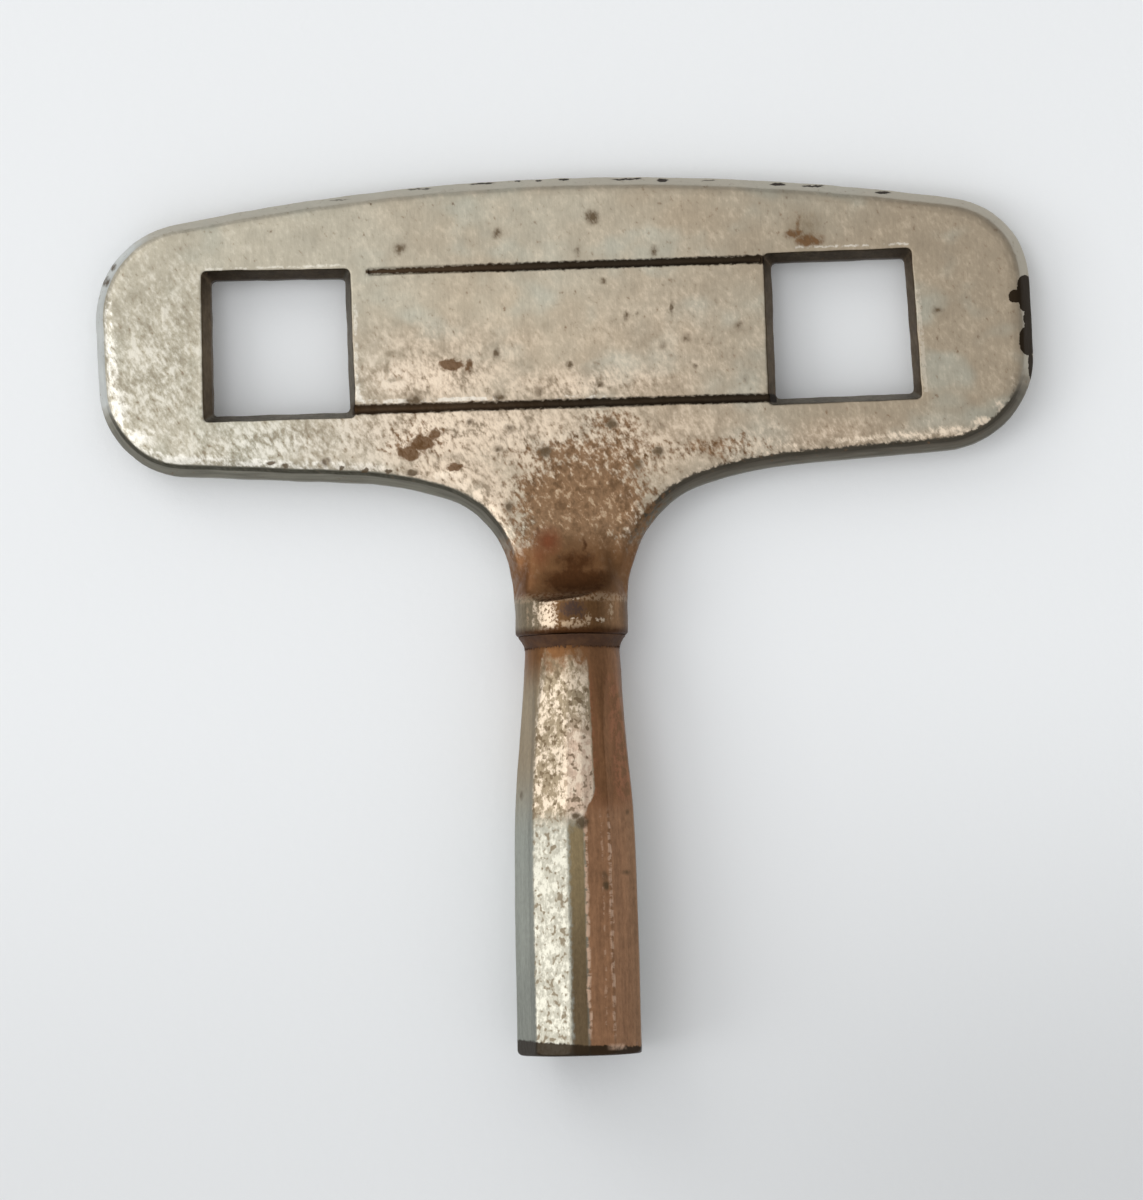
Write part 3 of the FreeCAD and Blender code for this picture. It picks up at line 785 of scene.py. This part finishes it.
    def ridges(self, colours):
        """Broken bright lines where the ridges between the right flats are rubbed, with a painted highlight
        along them.
        """
        wiggle = self.angle + (self.noise((2, 1, 2), detail=2, shift=44) - 0.5) * 5
        along = self.y.rise(16.5, 15) * self.y.rise(0.7, 2)
        for ridge, half, strength, start in RIDGES:
            noise = self.noise((1.2, 1.9, 1.2), detail=3, roughness=0.65, shift=ridge)
            dashes = noise.rise(start, start + 0.12)
            line = abs(wiggle - ridge).rise(half, half * 0.2)
            self.cover(line * dashes * along * strength, colours.copper_rub_and_highlight, 0.36)

    def ends(self, colours):
        """Spots, dirt and painted shade under the collar, the black rim of the mouth with painted shade, a
        painted glint on it, and the socket inside.
        """
        spots = self.marks(self.near, BARREL_SPOTS, 0.7)
        spots = self.uneven(spots, 1.3, self.fine, 2).rise(0.1, 1) * self.z.rise(0, 0.5)
        self.cover(spots * 0.9, colours.spot, 0.6)
        # Dirt and painted shade just under the collar.
        dirt = self.near_y.rise(26.5, 27.3) * (0.75 + 0.25 * self.x.rise(-1, 2))
        self.cover(dirt, colours.deep_rust_and_shade, 0.5)
        # The mouth's rim: bare metal with painted shade where it faces down.
        rim_y = self.near_y + self.x * 0.07 + (self.fine - 0.5) * 0.22
        self.cover(rim_y.rise(0.86, 0.7) * 0.96, colours.bare_iron_and_shade, 0.45)
        # A painted glint on the mouth's rim.
        glint = abs(self.angle - 40).rise(14, 6) * abs(self.y - 0.55).rise(0.3, 0.05)
        self.cover(glint * self.blotches.rise(0.35, 0.6) * 0.7, colours.copper_rub_and_highlight, 0.36)
        outer, inner = INSIDE
        within = (self.x * self.x + self.z * self.z).rise(outer**2, inner**2)
        self.cover(within, colours.deep_rust_and_shade, 0.7)


def braze_finish(colours):
    """Tarnished brazing metal, uneven and rust stained."""
    finish = Finish("tarnished_braze", colours.braze, metallic=0.5)
    lumps = finish.noise((1.5, 1.5, 1.5), detail=4, roughness=0.65)
    finish.tone = finish.blend(lumps.rise(0.35, 0.7), colours.deep_rust_and_shade, colours.braze)
    finish.roughness = 0.45 + 0.4 * lumps
    finish.height = 0.05 * lumps
    return finish.done()


def paper_finish(shade):
    """Plain pale paper with a faint tooth, and painted shade that makes it a little darker towards the lower
    right.
    """
    finish = Finish("pale_paper", shade, roughness=0.9, metallic=0)
    # Painted shade: the paper darkens towards the lower right.
    darkening = 1 - (0.12 + 0.12 * finish.x.rise(-15, 30)) * finish.y.rise(30, -12)
    finish.tone = finish.scaled(shade, darkening)
    finish.height = 0.02 * finish.noise((1.5, 1.5, 1.5), detail=3)
    return finish.done()


def select_only(piece):
    """Makes one object the only selected and the active one."""
    bpy.ops.object.select_all(action="DESELECT")
    piece.select_set(True)
    bpy.context.view_layer.objects.active = piece


def copy_of_node(node, name):
    """A new piece that starts as a merged copy of a CAD node's mesh."""
    mesh = frame["nodes"][node].data.copy()
    mesh.name = name
    mesh.materials.clear()
    piece = bpy.data.objects.new(name, mesh)
    bpy.context.scene.collection.objects.link(piece)
    select_only(piece)
    bpy.ops.object.mode_set(mode="EDIT")
    bpy.ops.mesh.select_all(action="SELECT")
    bpy.ops.mesh.remove_doubles(threshold=0.001 * MM)
    bpy.ops.object.mode_set(mode="OBJECT")
    return piece


def work(piece, kind, **settings):
    """Adds a modifier with these settings and applies it."""
    modifier = piece.modifiers.new(kind.capitalize(), kind)
    for name, value in settings.items():
        setattr(modifier, name, value)
    bpy.ops.object.modifier_apply(modifier=modifier.name)


def push_about(piece, direction, depth, grain):
    """Moves the surface to and fro by smooth noise of a given depth and grain, both in metres."""
    clouds = bpy.data.textures.new(piece.name + "_" + direction.lower(), "CLOUDS")
    clouds.noise_scale = grain
    clouds.noise_depth = 1
    clouds.noise_basis = "ORIGINAL_PERLIN"
    settings = {"texture": clouds, "texture_coords": "LOCAL", "direction": direction, "mid_level": 0.5}
    work(piece, "DISPLACE", strength=depth, **settings)


def wear_down(piece, grain):
    """Turns a crisp copy of a CAD node into worn metal, with an even skin and softened edges."""
    work(piece, "REMESH", mode="VOXEL", voxel_size=grain, adaptivity=0.0)
    work(piece, "SMOOTH", factor=0.5, iterations=EDGE_ROUNDS)


def fade(value, none, full):
    """0 where a value is at none or before it, rising to 1 at full."""
    return min(max((value - none) / (full - none), 0), 1)


def marked_points(piece, share_of):
    """The name of a new vertex group, with weights from a function of x and y in millimetres."""
    group = piece.vertex_groups.new(name="marked")
    for point in piece.data.vertices:
        share = share_of(point.co.x / MM, point.co.y / MM)
        if share:
            group.add([point.index], share, "REPLACE")
    return group.name


def soften_hollow(piece):
    """Rounds off the sides of the hollow between the bow's neck and its collar, on both faces."""
    group = marked_points(
        piece, lambda x, y: fade(y, 30.5, 31.1) * fade(y, 36.2, 34.9) * fade(abs(x), 3.55, 3)
    )
    work(piece, "SMOOTH", factor=0.5, iterations=HOLLOW_ROUNDS, vertex_group=group)
    piece.vertex_groups.clear()


def draw_in(piece, direction, distance, share_of):
    """Files one side of the outline a little way in."""
    group = marked_points(piece, share_of)
    work(piece, "DISPLACE", direction=direction, strength=distance, mid_level=0.0, vertex_group=group)
    piece.vertex_groups.clear()


def thin_out(piece):
    """Merges faces until the piece has few enough triangles."""
    count = 2 * len(piece.data.polygons)
    if count > MOST_TRIANGLES:
        work(piece, "DECIMATE", ratio=MOST_TRIANGLES / count)


def hand_over(piece, node, material):
    """Gives a finished piece its material and lets it stand for its CAD node."""
    piece.data.materials.append(material)
    select_only(piece)
    bpy.ops.object.shade_smooth()
    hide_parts(node)
    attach(piece, "root")


class KEY_OT_bow(bpy.types.Operator):
    """Model the forged handle with its worn edges"""

    bl_idname = "key.bow"
    bl_label = "Bow"

    def execute(self, context):
        sizes = context.scene.key_sizes
        piece = copy_of_node("bow", "worn_bow")
        wear_down(piece, sizes.bow_grain)
        soften_hollow(piece)
        draw_in(piece, "Y", -TOP_FILED * MM, lambda x, y: fade(y, 54, 56.2) * (1 - 0.5 * fade(x, 15, 28)))
        draw_in(piece, "X", LEFT_FILED * MM, lambda x, y: fade(x, -26, -29.5))
        push_about(piece, "X", sizes.hand_wobble, 1.6 * MM)
        push_about(piece, "Y", sizes.hand_wobble, 1.9 * MM)
        push_about(piece, "Z", sizes.face_waves, 4.5 * MM)
        thin_out(piece)
        hand_over(piece, "bow", BowFinish(context.scene.key_colours).done())
        return {"FINISHED"}


class KEY_OT_barrel(bpy.types.Operator):
    """Model the hammered socket tube"""

    bl_idname = "key.barrel"
    bl_label = "Barrel"

    def execute(self, context):
        sizes = context.scene.key_sizes
        piece = copy_of_node("barrel", "worn_barrel")
        wear_down(piece, sizes.barrel_grain)
        push_about(piece, "NORMAL", sizes.face_waves, 3.0 * MM)
        thin_out(piece)
        hand_over(piece, "barrel", BarrelFinish(context.scene.key_colours).done())
        return {"FINISHED"}


class KEY_OT_braze(bpy.types.Operator):
    """Model the uneven fillet of braze under the collar"""

    bl_idname = "key.braze"
    bl_label = "Braze"

    def execute(self, context):
        sizes = context.scene.key_sizes
        piece = copy_of_node("braze_ring", "braze_fillet")
        wear_down(piece, sizes.braze_grain)
        push_about(piece, "NORMAL", sizes.braze_lumps, 0.9 * MM)
        hand_over(piece, "braze_ring", braze_finish(context.scene.key_colours))
        return {"FINISHED"}


def add_lamp(name, towards, distance, size, power):
    """A square area lamp in a direction from the middle of the key. Lengths are metres."""
    offset = Vector(towards).normalized() * distance
    bpy.ops.object.light_add(type="AREA", location=Vector(KEY_MIDDLE) + offset)
    lamp = bpy.context.object
    lamp.name = name
    lamp.rotation_euler = offset.to_track_quat("Z", "Y").to_euler()
    lamp.data.size = size
    lamp.data.energy = power


class KEY_OT_stage(bpy.types.Operator):
    """Set out the paper, the lamps and the camera"""

    bl_idname = "key.stage"
    bl_label = "Stage"

    def execute(self, context):
        settings = context.scene.key_stage
        tilt = math.atan2(FLOOR_HIGH[1] - FLOOR_LOW[1], FLOOR_HIGH[0] - FLOOR_LOW[0])
        bpy.ops.object.select_all(action="DESELECT")
        location = (0, FLOOR_LOW[0] * MM, FLOOR_LOW[1] * MM)
        bpy.ops.mesh.primitive_plane_add(size=FLOOR_SIDE, location=location, rotation=(tilt, 0, 0))
        floor = context.object
        floor.name = "paper_floor"
        bpy.ops.object.transform_apply(location=True, rotation=True, scale=True)
        floor.data.materials.append(paper_finish(settings.paper))

        add_lamp("soft_lamp", (-0.35, 0.15, 0.93), 1.0, 0.45, settings.soft_power)
        add_lamp("window_lamp", (-0.8, -0.15, 0.6), 0.9, 0.4, settings.window_power)
        add_lamp("far_lamp", (-0.5, 0.6, 0.6), 0.9, 0.4, settings.far_power)
        context.scene.world = soft_sky(settings.sky)

        place_camera(context.scene)
        context.scene.view_settings.view_transform = "Standard"
        return {"FINISHED"}


def soft_sky(strength):
    """A sky that is brighter overhead and towards the lower left. The camera sees it as plain and pale."""
    world = bpy.data.worlds.new("soft_sky")
    nodes = Nodes(world)
    x, y, z = nodes.parts(nodes.node("ShaderNodeTexCoord", output="Generated"))
    level = 0.2 + 0.6 * z.larger(0) - 0.35 * y.smaller(0) - 0.2 * x.smaller(0)
    seen = nodes.node("ShaderNodeLightPath", output="Is Camera Ray")
    level = level * strength + seen * (SEEN_SKY - level * strength)
    background = nodes.node("ShaderNodeBackground", {"Color": (1, 1, 1), "Strength": level})
    nodes.node("ShaderNodeOutputWorld", {"Surface": background})
    return world


def place_camera(scene):
    """Puts the camera where the photograph was taken from."""
    lean_x = -math.sin(math.radians(CAMERA_LEAN_ACROSS))
    lean_y = -math.sin(math.radians(CAMERA_LEAN_ALONG))
    backwards = Vector((lean_x, lean_y, math.sqrt(1 - lean_x**2 - lean_y**2)))
    level_up = (Vector((0, 1, 0)) - backwards * backwards.y).normalized()
    level_right = level_up.cross(backwards)
    roll = math.radians(CAMERA_ROLL)
    right = level_right * math.cos(roll) - level_up * math.sin(roll)
    up = level_right * math.sin(roll) + level_up * math.cos(roll)
    centre = (Vector((*CAMERA_TARGET, 0)) + backwards * CAMERA_DISTANCE) * MM
    bpy.ops.object.camera_add(location=centre)
    camera = bpy.context.object
    camera.name = "photo_camera"
    turn = Matrix((right, up, backwards)).transposed().to_4x4()
    camera.matrix_world = Matrix.Translation(centre) @ turn
    camera.data.lens = CAMERA_LENS
    camera.data.sensor_width = 36.0
    camera.data.clip_start = 0.01
    camera.data.clip_end = 10.0
    scene.camera = camera


class KEY_PT_sidebar(bpy.types.Panel):
    """The key's controls in the sidebar"""

    bl_idname = "KEY_PT_sidebar"
    bl_label = "Clock Key"
    bl_space_type = "VIEW_3D"
    bl_region_type = "UI"
    bl_category = "Clock Key"

    def draw(self, context):
        scene = context.scene
        for group in (scene.key_sizes, scene.key_colours, scene.key_stage):
            column = self.layout.column(align=True)
            for name in group.bl_rna.properties.keys():
                if name not in ("name", "rna_type"):
                    column.prop(group, name)
        for operator in STEPS:
            self.layout.operator(operator.bl_idname)


STEPS = (KEY_OT_bow, KEY_OT_barrel, KEY_OT_braze, KEY_OT_stage)
GROUPS = (KeySizes, KeyColours, StageSettings)


def register():
    """Adds the key's settings, operators and panel."""
    for item in (*GROUPS, *STEPS, KEY_PT_sidebar):
        bpy.utils.register_class(item)
    bpy.types.Scene.key_sizes = bpy.props.PointerProperty(type=KeySizes)
    bpy.types.Scene.key_colours = bpy.props.PointerProperty(type=KeyColours)
    bpy.types.Scene.key_stage = bpy.props.PointerProperty(type=StageSettings)


def unregister():
    """Removes them again."""
    del bpy.types.Scene.key_stage
    del bpy.types.Scene.key_colours
    del bpy.types.Scene.key_sizes
    for item in (KEY_PT_sidebar, *reversed(STEPS), *reversed(GROUPS)):
        bpy.utils.unregister_class(item)


def main():
    """Builds the key and its stage."""
    register()
    bpy.ops.key.bow()
    bpy.ops.key.barrel()
    bpy.ops.key.braze()
    bpy.ops.key.stage()


if __name__ == "__main__":
    main()
